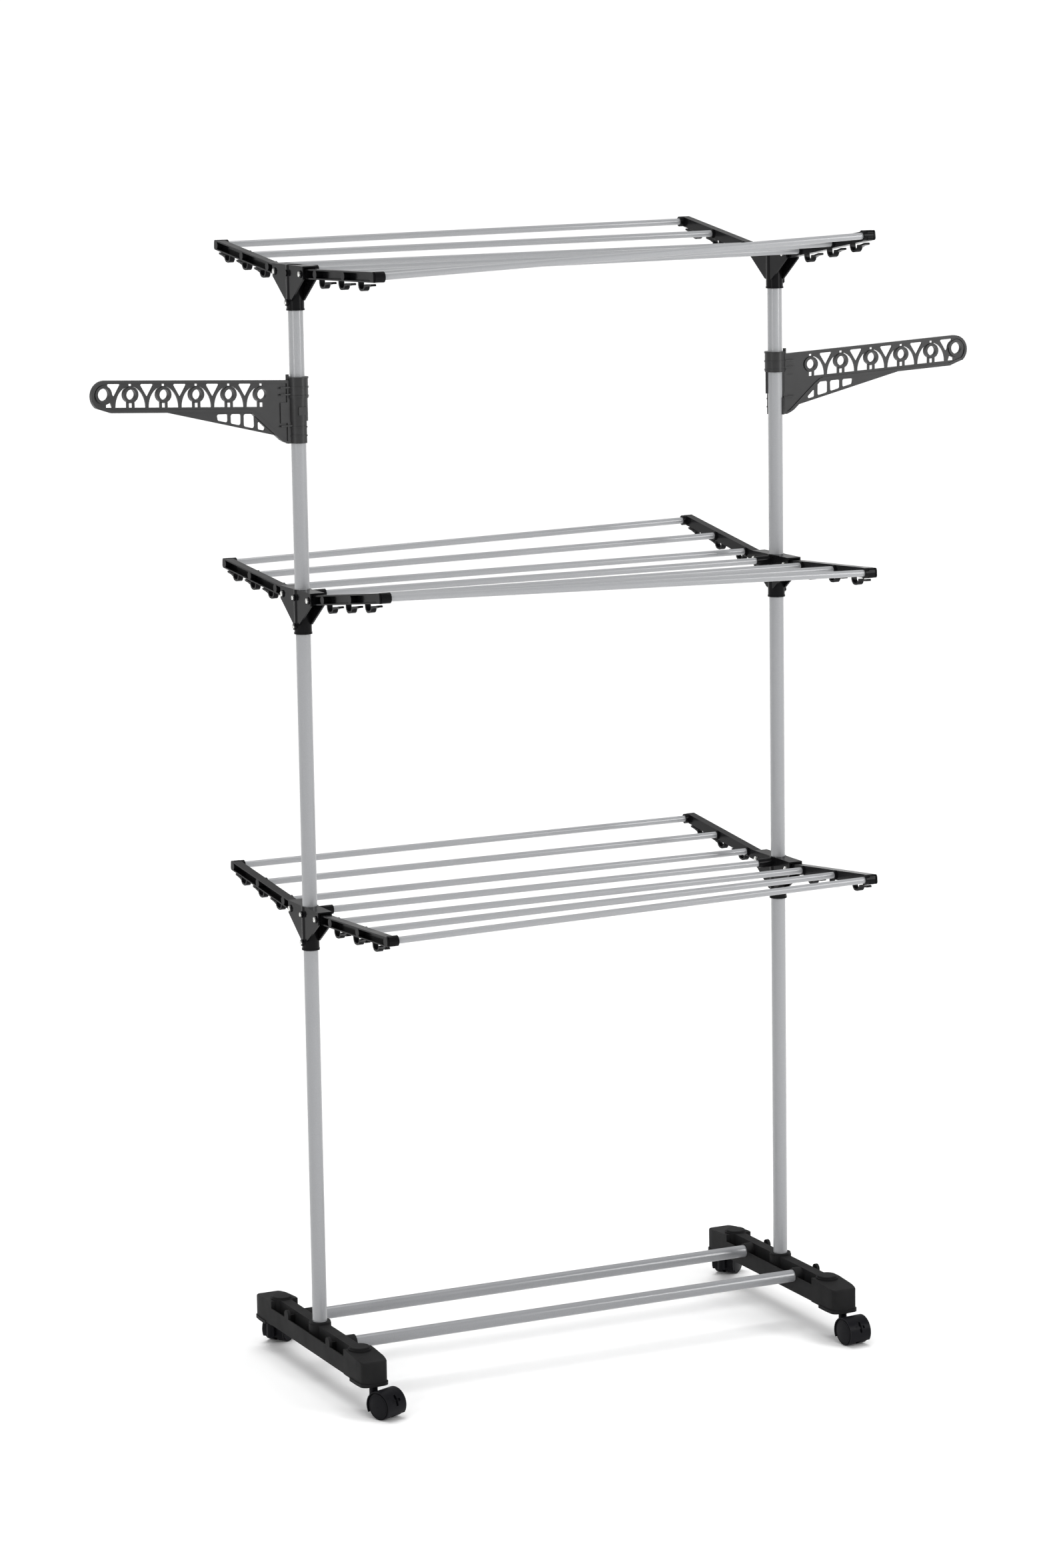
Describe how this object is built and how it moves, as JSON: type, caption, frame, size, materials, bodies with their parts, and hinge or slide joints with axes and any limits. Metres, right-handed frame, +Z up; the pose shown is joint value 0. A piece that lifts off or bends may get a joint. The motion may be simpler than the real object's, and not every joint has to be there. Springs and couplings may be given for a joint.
{
  "type": "clothes drying rack",
  "caption": "Upright folding clothes airer on casters: two posts, stacked winged shelves of round rods, and a swinging slotted hanger arm on each post.",
  "frame": {"origin": "on the floor under the middle of the rack, halfway between the posts", "axes": "+X from the left post to the right post, +Z up, -Y the front"},
  "size_m": [1.4487, 0.5987, 1.7024],
  "materials": {
    "grey_tube": "satin light grey powder coat on thin steel tube",
    "grey_base_tube": "satin mid grey powder coat on steel tube",
    "black_gloss": "semi-gloss black injection-moulded plastic",
    "beam_black": "finely textured matt black moulded plastic",
    "caster_black": "smooth satin black moulded nylon",
    "zinc": "bright zinc-plated steel"
  },
  "bodies": {
    "frame": {"foot_beam_left": "beam_black", "foot_beam_right": "beam_black", "foot_caps": "beam_black", "base_bar_front": "grey_base_tube", "base_bar_back": "grey_base_tube", "post_left_1": "grey_tube", "post_right_1": "grey_tube", "post_left_2": "grey_tube", "post_right_2": "grey_tube", "post_left_3": "grey_tube", "post_right_3": "grey_tube", "hub_left_1": "black_gloss", "hub_right_1": "black_gloss", "hub_left_2": "black_gloss", "hub_right_2": "black_gloss", "hub_left_3": "black_gloss", "hub_right_3": "black_gloss", "centre_rod_1": "grey_tube", "centre_rod_2": "grey_tube", "centre_rod_3": "grey_tube", "post_screws_left": "zinc", "post_screws_right": "zinc", "hinge_bolts_left": "zinc", "hinge_bolts_right": "zinc", "hinge_nuts_left": "zinc", "hinge_nuts_right": "zinc"},
    "wing_front_1": {"arm_front_left_1": "black_gloss", "arm_front_right_1": "black_gloss", "rods_front_1": "grey_tube"},
    "wing_back_1": {"arm_back_left_1": "black_gloss", "arm_back_right_1": "black_gloss", "rods_back_1": "grey_tube"},
    "wing_front_2": {"arm_front_left_2": "black_gloss", "arm_front_right_2": "black_gloss", "rods_front_2": "grey_tube"},
    "wing_back_2": {"arm_back_left_2": "black_gloss", "arm_back_right_2": "black_gloss", "rods_back_2": "grey_tube"},
    "wing_front_3": {"arm_front_left_3": "black_gloss", "arm_front_right_3": "black_gloss", "rods_front_3": "grey_tube"},
    "wing_back_3": {"arm_back_left_3": "black_gloss", "arm_back_right_3": "black_gloss", "rods_back_3": "grey_tube"},
    "hanger_left": {"hanger_arm_left": "black_gloss"},
    "hanger_right": {"hanger_arm_right": "black_gloss"},
    "caster_front_left": {"caster_hood_front_left": "caster_black", "caster_pins_front_left": "zinc"},
    "wheels_front_left": {"caster_wheels_front_left": "caster_black"},
    "caster_front_right": {"caster_hood_front_right": "caster_black", "caster_pins_front_right": "zinc"},
    "wheels_front_right": {"caster_wheels_front_right": "caster_black"},
    "caster_back_left": {"caster_hood_back_left": "caster_black", "caster_pins_back_left": "zinc"},
    "wheels_back_left": {"caster_wheels_back_left": "caster_black"},
    "caster_back_right": {"caster_hood_back_right": "caster_black", "caster_pins_back_right": "zinc"},
    "wheels_back_right": {"caster_wheels_back_right": "caster_black"}
  },
  "joints": [
    {"name": "fold_front_1", "type": "hinge", "parent": "frame", "child": "wing_front_1", "pos_m": [0, -0.048, 0.7145], "axis": [1, 0, 0], "range_deg": [0, 92.5]},
    {"name": "fold_back_1", "type": "hinge", "parent": "frame", "child": "wing_back_1", "pos_m": [0, 0.048, 0.7145], "axis": [-1, 0, 0], "range_deg": [0, 95.5]},
    {"name": "fold_front_2", "type": "hinge", "parent": "frame", "child": "wing_front_2", "pos_m": [0, -0.048, 1.1865], "axis": [1, 0, 0], "range_deg": [0, 93]},
    {"name": "fold_back_2", "type": "hinge", "parent": "frame", "child": "wing_back_2", "pos_m": [0, 0.048, 1.1865], "axis": [-1, 0, 0], "range_deg": [0, 94.5]},
    {"name": "fold_front_3", "type": "hinge", "parent": "frame", "child": "wing_front_3", "pos_m": [0, -0.048, 1.6585], "axis": [1, 0, 0], "range_deg": [0, 91.5]},
    {"name": "fold_back_3", "type": "hinge", "parent": "frame", "child": "wing_back_3", "pos_m": [0, 0.048, 1.6585], "axis": [-1, 0, 0], "range_deg": [0, 96.5]},
    {"name": "swing_left", "type": "hinge", "parent": "frame", "child": "hanger_left", "pos_m": [-0.394, 0, 1.475], "axis": [0, 0, 1], "continuous": true},
    {"name": "swing_right", "type": "hinge", "parent": "frame", "child": "hanger_right", "pos_m": [0.394, 0, 1.475], "axis": [0, 0, 1], "continuous": true},
    {"name": "swivel_front_left", "type": "hinge", "parent": "frame", "child": "caster_front_left", "pos_m": [-0.394, -0.199, 0.0443], "axis": [0, 0, 1], "continuous": true},
    {"name": "roll_front_left", "type": "hinge", "parent": "caster_front_left", "child": "wheels_front_left", "pos_m": [-0.38426, -0.22311, 0.0205], "axis": [0.9272, 0.3746, 0], "continuous": true},
    {"name": "swivel_front_right", "type": "hinge", "parent": "frame", "child": "caster_front_right", "pos_m": [0.394, -0.199, 0.0443], "axis": [0, 0, 1], "continuous": true},
    {"name": "roll_front_right", "type": "hinge", "parent": "caster_front_right", "child": "wheels_front_right", "pos_m": [0.39672, -0.22486, 0.0205], "axis": [0.9945, 0.1045, 0], "continuous": true},
    {"name": "swivel_back_left", "type": "hinge", "parent": "frame", "child": "caster_back_left", "pos_m": [-0.394, 0.199, 0.0443], "axis": [0, 0, 1], "continuous": true},
    {"name": "roll_back_left", "type": "hinge", "parent": "caster_back_left", "child": "wheels_back_left", "pos_m": [-0.37245, 0.21354, 0.0205], "axis": [-0.5592, 0.829, 0], "continuous": true},
    {"name": "swivel_back_right", "type": "hinge", "parent": "frame", "child": "caster_back_right", "pos_m": [0.394, 0.199, 0.0443], "axis": [0, 0, 1], "continuous": true},
    {"name": "roll_back_right", "type": "hinge", "parent": "caster_back_right", "child": "wheels_back_right", "pos_m": [0.41449, 0.21501, 0.0205], "axis": [-0.6157, 0.788, 0], "continuous": true}
  ]
}
